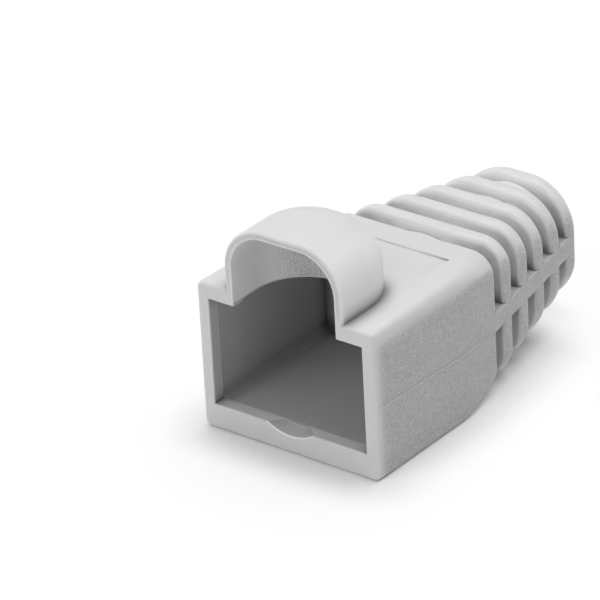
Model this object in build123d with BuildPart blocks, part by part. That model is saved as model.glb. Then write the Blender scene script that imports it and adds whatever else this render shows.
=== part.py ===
import os
from math import cos, radians, sin

from build123d import *

# Strain relief boot for a modular plug, moulded in one piece of soft plastic.
# Millimetres. X across, +Y from the plug mouth to the cable tail, +Z up.
# The origin lies under the middle of the boot, on the flat base.

# Body round the plug
body_width = 14.3
body_height = 10.7
body_length = 11.1
body_bottom_radius = 0.5
body_top_radius = 0.45
shoulder_top_radius = 0.9
side_wall = 0.95
floor_thickness = 1.85
ceiling_thickness = 1.1
rear_wall = 1.75
lip_length = 1.0
lip_height = 0.15
pocket_corner_radius = 0.6

# Cable passage
cable_axis_height = 5.2
bore_diameter = 6.2
throat_flare = 0.6
throat_length = 1.9
core_wall = 0.7
flare_length = 2.1
flare_cover = 0.05

# Shoulder and tapering tail
shoulder_length = 3.2
shoulder_ease = 1.5
shoulder_steps = 4
tail_start = 14.15
tail_side_draw = 0.6
tail_top_draw = 0.5
tail_bottom_draw = 0.15
tip_side_margin = 0.42
tip_top_margin = 0.42
tip_bottom_margin = 0.45
tail_top_radius_start = 1.7
tail_top_radius_tip = 3.5
tail_bottom_radius_start = 1.6
tail_bottom_radius_tip = 2.9

# Flexing slots and the ribs between them
slot_count = 5
slot_pitch = 2.5
slot_width = 1.15
rib_edge_radius = 0.48
rib_side_radius = 0.3
rounding_steps = 3
rail_height = 1.34

# Hood over the latch
hood_width = 9.5
hood_rise = 4.9
hood_length = 7.45
hood_corner_ease = 0.3
hood_edge_radius = 3.2
hood_side_wall = 0.6
hood_roof = 0.55
hood_rear_wall = 1.2
hood_inner_ease = 0.5

# Rounded rim, recess, scoop and flash
rim_outer_radius = 0.3
rim_inner_radius = 0.1
recess_margin = 0.15
recess_end_gap = 0.3
recess_depth = 0.18
recess_step = 0.1
scoop_width = 3.9
scoop_depth = 0.62
scoop_end_depth = 0.1
parting_height = 5.27
parting_drop = 0.42
flash_width = 0.08
flash_height = 0.03

# Derived sizes
mouth_width = body_width - 2 * side_wall
mouth_ceiling = body_height - ceiling_thickness
mouth_middle = (floor_thickness + mouth_ceiling) / 2
pocket_length = tail_start - rear_wall
throat_diameter = bore_diameter + 2 * throat_flare
core_diameter = bore_diameter + 2 * core_wall
shoulder_start = body_length - shoulder_length / 2
shoulder_end = body_length + shoulder_length / 2
tail_width_start = body_width - 2 * tail_side_draw
tail_top_start = body_height - tail_top_draw
tail_width_tip = core_diameter + 2 * tip_side_margin
tail_top_tip = cable_axis_height + core_diameter / 2 + tip_top_margin
tail_bottom_tip = cable_axis_height - core_diameter / 2 - tip_bottom_margin
core_flare_diameter = 2 * (tail_top_start - cable_axis_height - flare_cover)
rib_width = slot_pitch - slot_width
tail_tip = tail_start + slot_count * slot_pitch
hood_height = body_height + hood_rise
hood_corner_radius = hood_width / 2 - hood_corner_ease
hood_inner_width = hood_width - 2 * hood_side_wall
hood_inner_corner_radius = hood_inner_width / 2 - hood_inner_ease
scoop_radius = (scoop_width ** 2 / 4 + scoop_depth ** 2) / (2 * scoop_depth)
front = -tail_tip / 2
over = 2.0


def across(distance):
    """Upright plane across the boot, a given distance behind the mouth."""
    return Plane.XZ.offset(-(front + distance))


def outline(distance, sizes, inset=0, side_inset=0):
    """Rounded cross-section of the boot, drawn in from its top and bottom and from its sides."""
    width, bottom, top, bottom_radius, top_radius = sizes
    with BuildSketch(across(distance)) as section:
        with Locations((0, (bottom + top) / 2)):
            Rectangle(width - 2 * side_inset, top - bottom - 2 * inset)
        fillet(section.vertices().sort_by(Axis.Y)[-2:], top_radius - inset)
        fillet(section.vertices().sort_by(Axis.Y)[:2], bottom_radius - inset)
    return section.sketch


def blend(first, last, share):
    """Sizes part of the way from the first set to the last."""
    return [a + (b - a) * share for a, b in zip(first, last)]


def tail_sizes(distance):
    """Width, bottom, top and corner radii of the straight taper of the tail."""
    return blend(tail_start_sizes, tail_tip_sizes, (distance - tail_start) / (tail_tip - tail_start))


def shoulder_sizes(distance):
    """The same sizes on the shoulder, which eases from the body into the tail."""
    share = (distance - shoulder_start) / shoulder_length
    return blend(body_sizes, tail_sizes(shoulder_end), share ** shoulder_ease)


def quarter_circle():
    """Depth behind a flat face and inset of each step round an edge of radius one."""
    angles = [radians(90 * step / rounding_steps) for step in range(rounding_steps + 1)]
    return [(1 - cos(angle), 1 - sin(angle)) for angle in angles]


def tail_edge(at_face, direction):
    """Cross-sections of the tail that round the edge beside a flat face."""
    sections = []
    for depth, inset in quarter_circle():
        distance = at_face + direction * rib_edge_radius * depth
        sections.append(outline(
            distance, tail_sizes(distance), rib_edge_radius * inset, rib_side_radius * inset
        ))
    return sections


def disc(distance, diameter):
    """Round cross-section about the cable axis."""
    with BuildSketch(across(distance)) as section:
        with Locations((0, cable_axis_height)):
            Circle(diameter / 2)
    return section.sketch


def hood_plan(length, width, corner_radius, height):
    """Plan of the hood: straight sides that end in round rear corners."""
    with BuildSketch(Plane.XY.offset(height)) as plan:
        with Locations((0, front + length / 2)):
            Rectangle(width, length)
        fillet(plan.vertices().sort_by(Axis.Y)[-2:], corner_radius)
    return plan.sketch


def flash_strip(distance, width):
    """Thin line of flash across the boot where its mould parts, a little lower towards the tail."""
    with BuildSketch(across(distance)) as strip:
        with Locations((0, parting_height - parting_drop * distance / shoulder_end)):
            Rectangle(width + 2 * flash_height, flash_width)
    return strip.sketch


# Width, bottom, top and lower and upper corner radius at four places
mouth_sizes = [body_width, 0, body_height, body_bottom_radius, body_top_radius]
body_sizes = [body_width, 0, body_height, body_bottom_radius, shoulder_top_radius]
tail_start_sizes = [
    tail_width_start, tail_bottom_draw, tail_top_start, tail_bottom_radius_start, tail_top_radius_start
]
tail_tip_sizes = [
    tail_width_tip, tail_bottom_tip, tail_top_tip, tail_bottom_radius_tip, tail_top_radius_tip
]
shoulder_stations = [
    shoulder_start + shoulder_length * step / shoulder_steps for step in range(shoulder_steps + 1)
]

with BuildPart() as tail_form:
    loft([outline(at, tail_sizes(at)) for at in (shoulder_end, tail_tip)], ruled=True)

with BuildPart() as core:
    # Closed tube inside the ribs, flared where it leaves the body
    loft([
        disc(tail_start - rib_edge_radius, core_flare_diameter),
        disc(tail_start + flare_length, core_diameter),
    ])
    loft([disc(tail_start, core_diameter), disc(tail_tip - rib_width / 2, core_diameter)])
    # Side rails that tie the ribs together
    with BuildSketch(across(shoulder_end)):
        with Locations((0, cable_axis_height)):
            Rectangle(2 * body_width, rail_height)
    extrude(amount=-(tail_tip - shoulder_end - rib_width / 2))
    add(tail_form.part, mode=Mode.INTERSECT)

with BuildPart() as hollow:
    # Plug pocket behind its lip
    with BuildSketch(across(lip_length)):
        with Locations((0, mouth_middle)):
            Rectangle(mouth_width + 2 * lip_height, mouth_ceiling - floor_thickness + 2 * lip_height)
    extrude(amount=-(pocket_length - lip_length))
    fillet(hollow.edges().filter_by(Axis.Y), pocket_corner_radius)
    with BuildSketch(across(-over)):
        with Locations((0, mouth_middle)):
            Rectangle(mouth_width, mouth_ceiling - floor_thickness)
    extrude(amount=-(over + lip_length))
    # Tapered throat and cable bore
    loft([disc(pocket_length, throat_diameter), disc(pocket_length + throat_length, bore_diameter)])
    loft([disc(pocket_length, bore_diameter), disc(tail_tip + over, bore_diameter)])

with BuildPart() as hood:
    # Rounded over its sides and rear, and softened at its front
    add(hood_plan(hood_length, hood_width, hood_corner_radius, mouth_ceiling))
    extrude(amount=hood_height - mouth_ceiling)
    fillet(hood.faces().sort_by(Axis.Z)[-1].edges().sort_by(Axis.Y)[1:], hood_edge_radius)
    fillet(hood.faces().sort_by(Axis.Y)[0].edges().sort_by(Axis.Z)[1:], rim_outer_radius)

with BuildPart() as hood_cavity:
    add(hood_plan(
        hood_length - hood_rear_wall,
        hood_inner_width,
        hood_inner_corner_radius,
        mouth_ceiling - lip_height,
    ))
    extrude(amount=hood_height - hood_roof - mouth_ceiling + lip_height)
    fillet(
        hood_cavity.faces().sort_by(Axis.Z)[-1].edges().sort_by(Axis.Y)[1:],
        hood_edge_radius - hood_roof,
    )

with BuildPart() as scoop:
    # Rounded scoop in the lip of the floor, shallower towards the pocket
    for distance, depth in [(-lip_length, 2 * scoop_depth - scoop_end_depth), (lip_length, scoop_end_depth)]:
        with BuildSketch(across(distance)):
            with Locations((0, floor_thickness - depth + scoop_radius)):
                Circle(scoop_radius)
    loft()

with BuildPart() as rj45_boot:
    # Straight body, rounded at the mouth
    mouth = [
        outline(rim_outer_radius * depth, mouth_sizes, rim_outer_radius * inset, rim_outer_radius * inset)
        for depth, inset in quarter_circle()
    ]
    loft(mouth + [outline(shoulder_start, body_sizes)], ruled=True)
    # Shoulder that leads into the tail
    shoulder = [outline(at, shoulder_sizes(at)) for at in shoulder_stations]
    loft(shoulder + tail_edge(tail_start, -1)[::-1], ruled=True)
    add(hood.part)
    # Sloping recess behind the hood, with a small step at its rear
    recess_front = front + hood_length + recess_margin
    recess_rear = front + body_length + recess_end_gap
    recess_top = shoulder_sizes(body_length)[2]
    recess_floor = recess_top - recess_depth
    with BuildSketch(Plane.YZ):
        with BuildLine():
            Polyline(
                (recess_front, body_height),
                (recess_rear, recess_floor),
                (recess_rear + recess_step, recess_top),
                (recess_rear + recess_step, body_height + over),
                (recess_front, body_height + over),
                close=True,
            )
        make_face()
    extrude(amount=hood_width / 2 + recess_margin, both=True, mode=Mode.SUBTRACT)
    # Thin flash where the two mould halves met
    flash = [flash_strip(at, shoulder_sizes(at)[0]) for at in shoulder_stations]
    loft([flash_strip(rim_outer_radius, body_width)] + flash, ruled=True)
    # Ribs, each rounded on its two outer edges
    for index in range(slot_count):
        rib_start = tail_start + slot_width + index * slot_pitch
        loft(tail_edge(rib_start, 1) + tail_edge(rib_start + rib_width, -1)[::-1], ruled=True)
    add(core.part)
    add(hollow.part, mode=Mode.SUBTRACT)
    add(hood_cavity.part, mode=Mode.SUBTRACT)
    # Soften the edge of the mouth before the scoop is cut
    fillet(rj45_boot.faces().sort_by(Axis.Y)[0].inner_wires()[0].edges(), rim_inner_radius)
    add(scoop.part, mode=Mode.SUBTRACT)

os.makedirs("parts", exist_ok=True)
rj45_boot.part.label = "rj45_boot"
export_step(rj45_boot.part, "parts/rj45_boot.step")
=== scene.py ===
import math

import bpy
from mathutils import Matrix, Vector


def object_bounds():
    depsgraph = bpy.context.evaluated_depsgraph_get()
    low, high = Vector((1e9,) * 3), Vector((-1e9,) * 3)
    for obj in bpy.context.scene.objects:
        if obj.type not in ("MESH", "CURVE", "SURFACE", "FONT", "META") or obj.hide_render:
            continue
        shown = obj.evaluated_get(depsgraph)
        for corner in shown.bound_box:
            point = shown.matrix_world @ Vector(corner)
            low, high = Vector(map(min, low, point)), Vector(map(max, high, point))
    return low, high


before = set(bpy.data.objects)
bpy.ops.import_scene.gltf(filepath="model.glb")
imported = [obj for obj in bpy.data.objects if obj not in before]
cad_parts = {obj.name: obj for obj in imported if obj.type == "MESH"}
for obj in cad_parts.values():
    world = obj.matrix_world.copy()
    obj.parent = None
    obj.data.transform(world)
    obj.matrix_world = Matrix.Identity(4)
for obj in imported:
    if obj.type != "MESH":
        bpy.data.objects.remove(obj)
cad_low, cad_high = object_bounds()
MM = 0.001
front = cad_low[1]

# Smooth shading
WELD = 0.0001 * MM
SHARP_ANGLE = 50

# Plastic
BASE_DARK = (0.60, 0.60, 0.598)
BASE_LIGHT = (0.64, 0.64, 0.638)
CLOUD_SCALE = 180
PLASTIC = {
    "Roughness": 0.5,
    "IOR": 1.5,
    "Specular IOR Level": 0.3,
    "Subsurface Weight": 0.35,
    "Subsurface Radius": (1, 1, 1),
    "Subsurface Scale": 0.5 * MM,
}

# Greys of the tinted regions, where shade and light are painted, fitted to this photo and not the
# plastic's own
POCKET_PAINTED_SHADE_GREY = 0.44
LIP_SIDE_PAINTED_SHADE_GREY = 0.5
HOOD_INSIDE_PAINTED_LIGHT_GREY = 0.76
HOOD_SIDE_PAINTED_LIGHT_GREY = 0.74
SCOOP_PAINTED_SHADE_GREY = 0.47
RIB_FLANK_PAINTED_LIGHT_GREY = 0.77
HOLLOW_PAINTED_SHADE_GREY = 0.1
PIT_GREY = 0.3
PAINTED_HIGHLIGHT_GREY = 0.95

# Limits of the tinted regions of painted shade and light; in every pair, a ramp is zero at the first
# and one at the second
POCKET_HALF_WIDTH = 6.5 * MM
POCKET_FLOOR = 1.6 * MM
POCKET_TOP = 9.85 * MM
POCKET_END = 12.45 * MM
POCKET_DEEP = (0.6 * MM, 1.7 * MM)
LIP_FACING = (0.5, 0.9)
LIP_BEHIND = (0.05 * MM, 0.2 * MM)
SCOOP_HALF_WIDTH = 1.96 * MM
SCOOP_END = 1.05 * MM
SCOOP_FOOT = 1.1 * MM
SCOOP_TOP = 1.835 * MM
SCOOP_FACING = (0.2, 0.4)
SCOOP_EDGE = (0.14 * MM, 0.06 * MM)
RIBS_START = 14.3 * MM
RIB_FACING = (0.45, 1.0)
RIB_HEIGHT = (7.5 * MM, 9 * MM)
RIB_ASIDE = (5 * MM, 3.5 * MM)

# Line of flash, painted paler as a highlight
PARTING_HEIGHT = 5.27 * MM
PARTING_SLOPE = -0.42 / 12.7
FLASH_HALF_WIDTH = 0.055 * MM
FLASH_SOFT = 0.03 * MM
FLASH_SCALE = 1400
FLASH_BREAKS = (0.2, 0.45)
FLASH_ASIDE = (5.4 * MM, 5.9 * MM)
FLASH_START = (0.2 * MM, 1.4 * MM)
FLASH_END = (11.0 * MM, 13.0 * MM)

# Grain, and ambient occlusion for painted shade in hollows and painted highlights on thin edges
GRAIN_SCALE = 10000
GRAIN = 1.0
FAINT_GRAIN = 0.1
HOOD_GRAIN_CHANGE = -0.9
GRAIN_DEPTH = 0.25 * MM
GRAIN_ASIDE = 3.2 * MM
GRAIN_FACING = (0.8, 0.98)
GRAIN_START = (0, 1.2 * MM)
GRAIN_TOP = (9.2 * MM, 10.1 * MM)
PIT_LEVELS = (0.62, 0.38)
PIT_SHARE = 0.45
HOLLOW_REACH = 1.2 * MM
HOLLOW_LEVELS = (0.1, 0.55)
HOLLOW_ASIDE = (2 * MM, 5 * MM)
HOLLOW_HEIGHT = (0.7 * MM, 2 * MM)
EDGE_REACH = 0.1 * MM
EDGE_LEVELS = (0.1, 0.5)
EDGE_HIGHLIGHT_SHARE = 0.5
OCCLUSION_SAMPLES = 4

# Rounding of the edges in shading
EDGE = 0.09 * MM
SOFT_EDGE = 0.25 * MM
SOFT_TAIL = (13.9 * MM, 14.3 * MM)
SOFT_ASIDE = (6.5 * MM, 6.7 * MM)
BEVEL_SAMPLES = 6

# Hood, and the groove in its front rim
HOOD_HALF_WIDTH = 4.75 * MM
HOOD_TOP = 15.6 * MM
HOOD_RADIUS = 3.2 * MM
HOOD_FOOT = 9.85 * MM
HOOD_END = 7.6 * MM
HOOD_MARGIN = 0.15 * MM
HOOD_INNER_HEIGHT = 12 * MM
HOOD_INNER_BEHIND = 3 * MM
HOOD_UPWARD = 0.6
HOOD_SIDE_HEIGHT = (10.75 * MM, 11.2 * MM)
HOOD_SIDE_FACING = (0.2, 0.9)
HOOD_BACK_FACING = (0.3, 0.9)
HOOD_BACK_BEHIND = (1.5 * MM, 3 * MM)
GROOVE_INSET = 0.27 * MM
GROOVE_HALF_WIDTH = 0.01 * MM
GROOVE_SOFT = 0.1 * MM
GROOVE_END = 0.35 * MM
GROOVE_HEIGHT = (10.7 * MM, 11.5 * MM)
GROOVE_DEPTH_MM = 0.06

# Floor and surroundings
FLOOR_SIZE = 4
FLOOR_WHITE = 0.9
FLOOR_ROUGHNESS = 0.9
FLOOR_GLOW_FAR = 0.75
GLOW_AWAY = (0.5 * MM, 4.4 * MM)
SHADED_HALF_WIDTH = 7.15 * MM
SHADED_HALF_LENGTH = 10.0 * MM
WORLD_STRENGTH = 0.02

# Large round lamps about the object: azimuth and elevation as for the camera, and power
LIGHT_DISTANCE = 0.25
LIGHT_SIZE = 0.2
LIGHTS_AIM = Vector((0, 0, 0.005))
LIGHTS = {
    "rear_left": (-141, 66, 0.30),
    "rear_right": (129, 66, 0.25),
    "low_left": (-96, 12, 0.17),
    "front": (-6, 40, 0.17),
    "overhead": (39, 88, 0.11),
    "low_front": (-6, 12, 0.07),
    "low_front_left": (-51, 12, 0.06),
    "low_rear": (174, 12, 0.05),
    "low_right": (84, 12, 0.05),
    "right": (84, 40, 0.035),
    "low_camera_side": (39, 12, 0.035),
}

# Camera, placed as in the photo
CAMERA_AZIMUTH = math.radians(39.003)
CAMERA_ELEVATION = math.radians(27.676)
CAMERA_ROLL = math.radians(-3.16)
CAMERA_DISTANCE = 300.109 * MM
FOCAL_PIXELS = 4720.07
IMAGE_PIXELS = 600
SENSOR_WIDTH = 36
CAMERA_AIM = Vector((1.452 * MM, front, 11.685 * MM))


class Nodes:
    """Short forms for the nodes of one tree."""

    def __init__(self, tree):
        self.tree = tree

    def new(self, kind):
        return self.tree.nodes.new(kind)

    def link(self, source, target):
        self.tree.links.new(source, target)

    def math(self, operation, *values):
        """Math node with numbers or sockets as its inputs."""
        node = self.new("ShaderNodeMath")
        node.operation = operation
        for socket, value in zip(node.inputs, values):
            if isinstance(value, (int, float)):
                socket.default_value = value
            else:
                self.link(value, socket)
        return node.outputs[0]

    def ramp(self, value, start, end):
        """Zero at start, one at end, smooth between them."""
        node = self.new("ShaderNodeMapRange")
        node.interpolation_type = "SMOOTHSTEP"
        node.inputs["From Min"].default_value = start
        node.inputs["From Max"].default_value = end
        self.link(value, node.inputs["Value"])
        return node.outputs["Result"]

    def band(self, value, half_width, soft):
        """One within half_width of zero, falling to zero over the soft width."""
        away = self.math("ABSOLUTE", value)
        return self.inverse(self.ramp(away, half_width, half_width + soft))

    def inverse(self, mask):
        return self.math("SUBTRACT", 1, mask)

    def product(self, *masks):
        result = masks[0]
        for mask in masks[1:]:
            result = self.math("MULTIPLY", result, mask)
        return result

    def noise(self, vector, scale, detail):
        node = self.new("ShaderNodeTexNoise")
        node.inputs["Scale"].default_value = scale
        node.inputs["Detail"].default_value = detail
        self.link(vector, node.inputs["Vector"])
        return node.outputs["Fac"]

    def length(self, first, second):
        """Length of a vector from its two parts."""
        squares = self.math("MULTIPLY_ADD", first, first, self.math("MULTIPLY", second, second))
        return self.math("SQRT", squares)

    def occlusion(self, reach, inside):
        """How far a point is shut in, from zero to one."""
        node = self.new("ShaderNodeAmbientOcclusion")
        node.samples = OCCLUSION_SAMPLES
        node.inside = inside
        node.inputs["Distance"].default_value = reach
        return self.inverse(node.outputs["AO"])

    def tinted(self, colour, share, grey):
        """Colour mixed towards a grey by a mask."""
        node = self.new("ShaderNodeMix")
        node.data_type = "RGBA"
        node.inputs["B"].default_value = (grey, grey, grey, 1)
        self.link(colour, node.inputs["A"])
        self.link(share, node.inputs["Factor"])
        return node.outputs["Result"]


class Place:
    """Where a point lies on the boot, and which way its surface faces."""

    def __init__(self, nodes):
        self.coords = nodes.new("ShaderNodeTexCoord").outputs["Object"]
        place = nodes.new("ShaderNodeSeparateXYZ")
        nodes.link(self.coords, place.inputs["Vector"])
        self.x = place.outputs["X"]
        self.x_away = nodes.math("ABSOLUTE", self.x)
        self.behind = nodes.math("SUBTRACT", place.outputs["Y"], front)
        self.height = place.outputs["Z"]
        turned = nodes.new("ShaderNodeVectorTransform")
        turned.vector_type = "NORMAL"
        turned.convert_from = "WORLD"
        turned.convert_to = "OBJECT"
        nodes.link(nodes.new("ShaderNodeNewGeometry").outputs["True Normal"], turned.inputs["Vector"])
        facing = nodes.new("ShaderNodeSeparateXYZ")
        nodes.link(turned.outputs["Vector"], facing.inputs["Vector"])
        self.facing_x, self.facing_y, self.facing_z = (facing.outputs[axis] for axis in "XYZ")
        self.facing_side = nodes.math("ABSOLUTE", self.facing_x)
        self.facing_front = nodes.math("MULTIPLY", self.facing_y, -1)


def smooth_shading(piece):
    """Shade curved surfaces smooth and leave true edges sharp."""
    group = bpy.data.node_groups.new("smooth_by_angle", "GeometryNodeTree")
    for in_out in ("INPUT", "OUTPUT"):
        group.interface.new_socket("Geometry", in_out=in_out, socket_type="NodeSocketGeometry")
    nodes = Nodes(group)
    start = nodes.new("NodeGroupInput")
    end = nodes.new("NodeGroupOutput")
    plain = nodes.new("GeometryNodeRemoveAttribute")
    plain.inputs["Name"].default_value = "custom_normal"
    weld = nodes.new("GeometryNodeMergeByDistance")
    weld.inputs["Distance"].default_value = WELD
    faces = nodes.new("GeometryNodeSetShadeSmooth")
    faces.domain = "FACE"
    angle = nodes.new("GeometryNodeInputMeshEdgeAngle")
    sharp = nodes.new("FunctionNodeCompare")
    sharp.operation = "LESS_THAN"
    sharp.inputs["B"].default_value = math.radians(SHARP_ANGLE)
    edges = nodes.new("GeometryNodeSetShadeSmooth")
    edges.domain = "EDGE"
    chain = (start, plain, weld, faces, edges, end)
    for source, target in zip(chain, chain[1:]):
        nodes.link(source.outputs["Geometry"], target.inputs["Geometry"])
    nodes.link(angle.outputs["Unsigned Angle"], sharp.inputs["A"])
    nodes.link(sharp.outputs["Result"], edges.inputs["Shade Smooth"])
    piece.modifiers.new("smooth", "NODES").node_group = group
    weighted = piece.modifiers.new("weighted_normals", "WEIGHTED_NORMAL")
    weighted.keep_sharp = True
    weighted.weight = 50


def clouded(nodes, at):
    """Base grey with slow clouding."""
    tint = nodes.new("ShaderNodeMix")
    tint.data_type = "RGBA"
    tint.inputs["A"].default_value = (*BASE_DARK, 1)
    tint.inputs["B"].default_value = (*BASE_LIGHT, 1)
    nodes.link(nodes.noise(at.coords, CLOUD_SCALE, detail=3), tint.inputs["Factor"])
    return tint.outputs["Result"]


def pocket_mask(nodes, at):
    return nodes.product(
        nodes.math("LESS_THAN", at.x_away, POCKET_HALF_WIDTH),
        nodes.math("LESS_THAN", at.height, POCKET_TOP),
        nodes.math("LESS_THAN", at.behind, POCKET_END),
        nodes.math("GREATER_THAN", at.height, POCKET_FLOOR),
    )


def hood_masks(nodes, at):
    """The whole hood, and the part of it that faces a point inside it."""
    above = nodes.math("SUBTRACT", at.height, HOOD_INNER_HEIGHT)
    beyond = nodes.math("SUBTRACT", at.behind, HOOD_INNER_BEHIND)
    outward = nodes.math("MULTIPLY", at.facing_y, beyond)
    outward = nodes.math("MULTIPLY_ADD", at.facing_z, above, outward)
    outward = nodes.math("MULTIPLY_ADD", at.facing_x, at.x, outward)
    hood = nodes.product(
        nodes.math("LESS_THAN", at.x_away, HOOD_HALF_WIDTH + HOOD_MARGIN),
        nodes.math("LESS_THAN", at.behind, HOOD_END),
        nodes.math("GREATER_THAN", at.height, HOOD_FOOT),
    )
    hood_inside = nodes.product(
        hood,
        nodes.math("LESS_THAN", outward, 0),
        nodes.math("LESS_THAN", at.facing_z, HOOD_UPWARD),
    )
    return hood, hood_inside


def flash_line_highlight(nodes, at, pocket):
    """Mask of the painted highlight along the line of flash, broken along its length."""
    parting = nodes.math("MULTIPLY_ADD", at.behind, PARTING_SLOPE, PARTING_HEIGHT)
    return nodes.product(
        nodes.band(nodes.math("SUBTRACT", at.height, parting), FLASH_HALF_WIDTH, FLASH_SOFT),
        nodes.inverse(pocket),
        nodes.ramp(at.x_away, *FLASH_ASIDE),
        nodes.inverse(nodes.ramp(at.behind, *FLASH_END)),
        nodes.ramp(at.behind, *FLASH_START),
        nodes.ramp(nodes.noise(at.coords, FLASH_SCALE, detail=1), *FLASH_BREAKS),
    )


def painted_light_and_shade(nodes, at, colour, pocket, hood, hood_inside):
    """Regions toned towards the photo: painted shade and painted light fixed to the object, not its
    real colour.
    """
    # Painted shade: the pocket darker deeper inside
    deep_painted_shade = nodes.product(pocket, nodes.ramp(at.behind, *POCKET_DEEP))
    colour = nodes.tinted(colour, deep_painted_shade, POCKET_PAINTED_SHADE_GREY)
    # Painted shade: the pocket's side walls by the mouth darker
    lip_side_painted_shade = nodes.product(
        pocket,
        nodes.inverse(deep_painted_shade),
        nodes.ramp(at.facing_side, *LIP_FACING),
        nodes.ramp(at.behind, *LIP_BEHIND),
    )
    colour = nodes.tinted(colour, lip_side_painted_shade, LIP_SIDE_PAINTED_SHADE_GREY)

    # Painted light: the inside of the hood paler, as if light came through its thin wall
    colour = nodes.tinted(colour, hood_inside, HOOD_INSIDE_PAINTED_LIGHT_GREY)
    # Painted light: the hood's outer sides paler up high
    hood_side_painted_light = nodes.product(
        nodes.math("SUBTRACT", hood, hood_inside),
        nodes.ramp(at.height, *HOOD_SIDE_HEIGHT),
        nodes.ramp(at.facing_side, *HOOD_SIDE_FACING),
    )
    colour = nodes.tinted(colour, hood_side_painted_light, HOOD_SIDE_PAINTED_LIGHT_GREY)

    # Painted shade: the scoop in the mouth's floor darker
    scoop = nodes.product(
        nodes.math("LESS_THAN", at.x_away, SCOOP_HALF_WIDTH),
        nodes.math("LESS_THAN", at.behind, SCOOP_END),
        nodes.math("LESS_THAN", at.height, SCOOP_TOP),
        nodes.math("GREATER_THAN", at.height, SCOOP_FOOT),
        nodes.ramp(at.facing_z, *SCOOP_FACING),
    )
    colour = nodes.tinted(colour, scoop, SCOOP_PAINTED_SHADE_GREY)
    # Painted highlight: a pale line along the scoop's front edge
    scoop_edge_highlight = nodes.product(scoop, nodes.ramp(at.behind, *SCOOP_EDGE))
    colour = nodes.tinted(colour, scoop_edge_highlight, PAINTED_HIGHLIGHT_GREY)

    # Painted light: the front flanks of the ribs paler
    rib_flank_painted_light = nodes.product(
        nodes.math("GREATER_THAN", at.behind, RIBS_START),
        nodes.ramp(at.facing_front, *RIB_FACING),
        nodes.ramp(at.height, *RIB_HEIGHT),
        nodes.ramp(at.x_away, *RIB_ASIDE),
    )
    return nodes.tinted(colour, rib_flank_painted_light, RIB_FLANK_PAINTED_LIGHT_GREY)


def hollow_shade_and_edge_highlights(nodes, at, colour):
    """Painted shade in the slots at the sides, and painted highlights on thin edges."""
    # Painted shade: slots at the sides darker where ambient occlusion finds them shut in
    hollow_painted_shade = nodes.product(
        nodes.ramp(nodes.occlusion(HOLLOW_REACH, inside=False), *HOLLOW_LEVELS),
        nodes.ramp(at.x_away, *HOLLOW_ASIDE),
        nodes.ramp(at.height, *HOLLOW_HEIGHT),
    )
    colour = nodes.tinted(colour, hollow_painted_shade, HOLLOW_PAINTED_SHADE_GREY)
    # Painted highlight: thin convex edges paler
    edge_highlight = nodes.ramp(nodes.occlusion(EDGE_REACH, inside=True), *EDGE_LEVELS)
    return nodes.tinted(colour, nodes.product(edge_highlight, EDGE_HIGHLIGHT_SHARE), PAINTED_HIGHLIGHT_GREY)


def grain_mask(nodes, at, pocket, hood, hood_inside):
    """One where the grain is strong: the outer sides and the hood's back wall."""
    sides = nodes.product(
        nodes.inverse(nodes.math("MAXIMUM", pocket, hood_inside)),
        nodes.math("GREATER_THAN", at.x_away, GRAIN_ASIDE),
        nodes.ramp(at.facing_side, *GRAIN_FACING),
        nodes.math("MULTIPLY_ADD", hood, HOOD_GRAIN_CHANGE, 1),
        nodes.ramp(at.behind, *GRAIN_START),
        nodes.inverse(nodes.ramp(at.height, *GRAIN_TOP)),
    )
    hood_back = nodes.product(
        hood_inside,
        nodes.ramp(at.facing_front, *HOOD_BACK_FACING),
        nodes.ramp(at.behind, *HOOD_BACK_BEHIND),
    )
    return nodes.math("MAXIMUM", sides, hood_back)


def rim_groove(nodes, at):
    """Depth of the shallow groove that follows the hood's outline in its front rim."""
    across = nodes.math("MAXIMUM", nodes.math("SUBTRACT", at.x_away, HOOD_HALF_WIDTH - HOOD_RADIUS), 0)
    upward = nodes.math("MAXIMUM", nodes.math("SUBTRACT", at.height, HOOD_TOP - HOOD_RADIUS), 0)
    from_line = nodes.math("SUBTRACT", nodes.length(across, upward), HOOD_RADIUS - GROOVE_INSET)
    return nodes.product(
        nodes.band(from_line, GROOVE_HALF_WIDTH, GROOVE_SOFT),
        nodes.math("LESS_THAN", at.behind, GROOVE_END),
        nodes.ramp(at.height, *GROOVE_HEIGHT),
        GROOVE_DEPTH_MM,
    )


def surface_normal(nodes, at, grain, grainy):
    """Rounded edges, then the groove, then the grain."""
    on_tail = nodes.ramp(at.behind, *SOFT_TAIL)
    soft = nodes.math("MAXIMUM", on_tail, nodes.ramp(at.x_away, *SOFT_ASIDE))
    round_edges = nodes.new("ShaderNodeBevel")
    round_edges.samples = BEVEL_SAMPLES
    nodes.link(nodes.math("MULTIPLY_ADD", soft, SOFT_EDGE - EDGE, EDGE), round_edges.inputs["Radius"])
    groove = nodes.new("ShaderNodeBump")
    groove.invert = True
    groove.inputs["Distance"].default_value = MM
    nodes.link(rim_groove(nodes, at), groove.inputs["Height"])
    nodes.link(round_edges.outputs["Normal"], groove.inputs["Normal"])
    bump = nodes.new("ShaderNodeBump")
    bump.inputs["Distance"].default_value = GRAIN_DEPTH
    strength = nodes.math("MULTIPLY_ADD", grainy, GRAIN - FAINT_GRAIN, FAINT_GRAIN)
    nodes.link(strength, bump.inputs["Strength"])
    nodes.link(grain, bump.inputs["Height"])
    nodes.link(groove.outputs["Normal"], bump.inputs["Normal"])
    return bump.outputs["Normal"]


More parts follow.
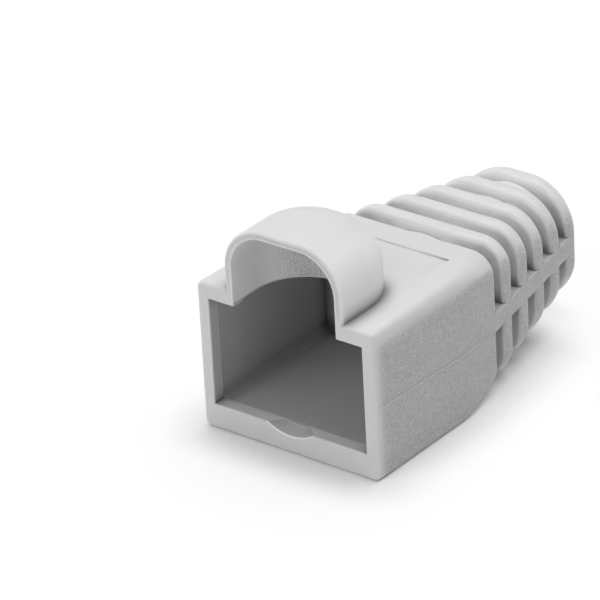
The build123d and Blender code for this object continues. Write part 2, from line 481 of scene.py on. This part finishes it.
def soft_plastic():
    """Light grey soft plastic with a fine grain on its sides."""
    mat = bpy.data.materials.new("soft_plastic")
    mat.use_nodes = True
    shader = mat.node_tree.nodes["Principled BSDF"]
    for name, value in PLASTIC.items():
        shader.inputs[name].default_value = value
    nodes = Nodes(mat.node_tree)
    at = Place(nodes)
    pocket = pocket_mask(nodes, at)
    hood, hood_inside = hood_masks(nodes, at)
    grainy = grain_mask(nodes, at, pocket, hood, hood_inside)
    grain = nodes.noise(at.coords, GRAIN_SCALE, detail=1)
    pits = nodes.product(grainy, nodes.ramp(grain, *PIT_LEVELS), PIT_SHARE)

    colour = clouded(nodes, at)
    # Painted highlight along the flash line
    colour = nodes.tinted(colour, flash_line_highlight(nodes, at, pocket), PAINTED_HIGHLIGHT_GREY)
    # Painted shade and painted light in fixed regions
    colour = painted_light_and_shade(nodes, at, colour, pocket, hood, hood_inside)
    # Painted shade in hollows and painted highlights on thin edges
    colour = hollow_shade_and_edge_highlights(nodes, at, colour)
    colour = nodes.tinted(colour, pits, PIT_GREY)
    nodes.link(colour, shader.inputs["Base Color"])
    nodes.link(surface_normal(nodes, at, grain, grainy), shader.inputs["Normal"])
    return mat


def white_floor_material():
    """White with a glow away from the boot, for rays from the camera, mirrors and glass."""
    mat = bpy.data.materials.new("floor_white")
    mat.use_nodes = True
    shader = mat.node_tree.nodes["Principled BSDF"]
    shader.inputs["Base Color"].default_value = (FLOOR_WHITE, FLOOR_WHITE, FLOOR_WHITE, 1)
    shader.inputs["Roughness"].default_value = FLOOR_ROUGHNESS
    shader.inputs["Specular IOR Level"].default_value = 0.0
    nodes = Nodes(mat.node_tree)
    place = nodes.new("ShaderNodeSeparateXYZ")
    nodes.link(nodes.new("ShaderNodeTexCoord").outputs["Object"], place.inputs["Vector"])
    shaded = (("X", 0, SHADED_HALF_WIDTH), ("Y", front + SHADED_HALF_LENGTH, SHADED_HALF_LENGTH))
    aside = []
    for axis, middle, half in shaded:
        from_middle = nodes.math("ABSOLUTE", nodes.math("SUBTRACT", place.outputs[axis], middle))
        aside.append(nodes.math("MAXIMUM", nodes.math("SUBTRACT", from_middle, half), 0))
    far = nodes.ramp(nodes.length(*aside), *GLOW_AWAY)
    path = nodes.new("ShaderNodeLightPath")
    seen = path.outputs["Is Camera Ray"]
    for ray in ("Is Glossy Ray", "Is Transmission Ray"):
        seen = nodes.math("MAXIMUM", seen, path.outputs[ray])
    mix = nodes.new("ShaderNodeMixShader")
    nodes.link(nodes.product(seen, far, FLOOR_GLOW_FAR), mix.inputs[0])
    nodes.link(shader.outputs["BSDF"], mix.inputs[1])
    nodes.link(nodes.new("ShaderNodeEmission").outputs["Emission"], mix.inputs[2])
    nodes.link(mix.outputs["Shader"], mat.node_tree.nodes["Material Output"].inputs["Surface"])
    return mat


def direction(azimuth, elevation):
    """Unit vector towards a light or the camera; azimuth 0 is the mouth's side."""
    return Vector((
        math.sin(azimuth) * math.cos(elevation),
        -math.cos(azimuth) * math.cos(elevation),
        math.sin(elevation),
    ))


def add_lamp(name, azimuth, elevation, power):
    data = bpy.data.lights.new(name, "AREA")
    data.shape = "DISK"
    data.size = LIGHT_SIZE
    data.energy = power
    lamp = bpy.data.objects.new(name, data)
    bpy.context.scene.collection.objects.link(lamp)
    towards = direction(math.radians(azimuth), math.radians(elevation))
    lamp.location = LIGHTS_AIM + towards * LIGHT_DISTANCE
    lamp.rotation_mode = "QUATERNION"
    lamp.rotation_quaternion = (-towards).to_track_quat("-Z", "Y")


def add_camera():
    back = direction(CAMERA_AZIMUTH, CAMERA_ELEVATION)
    right = Vector((math.cos(CAMERA_AZIMUTH), math.sin(CAMERA_AZIMUTH), 0))
    up = back.cross(right)
    right_rolled = right * math.cos(CAMERA_ROLL) + up * math.sin(CAMERA_ROLL)
    up_rolled = up * math.cos(CAMERA_ROLL) - right * math.sin(CAMERA_ROLL)
    data = bpy.data.cameras.new("camera")
    data.sensor_width = SENSOR_WIDTH
    data.lens = FOCAL_PIXELS * SENSOR_WIDTH / IMAGE_PIXELS
    data.clip_start = 0.01
    data.clip_end = 10
    camera = bpy.data.objects.new("camera", data)
    bpy.context.scene.collection.objects.link(camera)
    rotation = Matrix((right_rolled, up_rolled, back)).transposed()
    camera.matrix_world = Matrix.Translation(CAMERA_AIM + back * CAMERA_DISTANCE) @ rotation.to_4x4()
    bpy.context.scene.camera = camera


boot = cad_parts["rj45_boot"]
smooth_shading(boot)
boot.data.materials.clear()
boot.data.materials.append(soft_plastic())

bpy.ops.mesh.primitive_plane_add(size=FLOOR_SIZE, location=(0, 0, 0))
floor = bpy.context.object
floor.name = "floor"
floor.data.materials.append(white_floor_material())

world = bpy.data.worlds.new("world")
bpy.context.scene.world = world
world.use_nodes = True
background = world.node_tree.nodes["Background"]
background.inputs["Color"].default_value = (1, 1, 1, 1)
background.inputs["Strength"].default_value = WORLD_STRENGTH

for name, (azimuth, elevation, power) in LIGHTS.items():
    add_lamp(name, azimuth, elevation, power)
add_camera()
bpy.context.scene.view_settings.view_transform = "Standard"
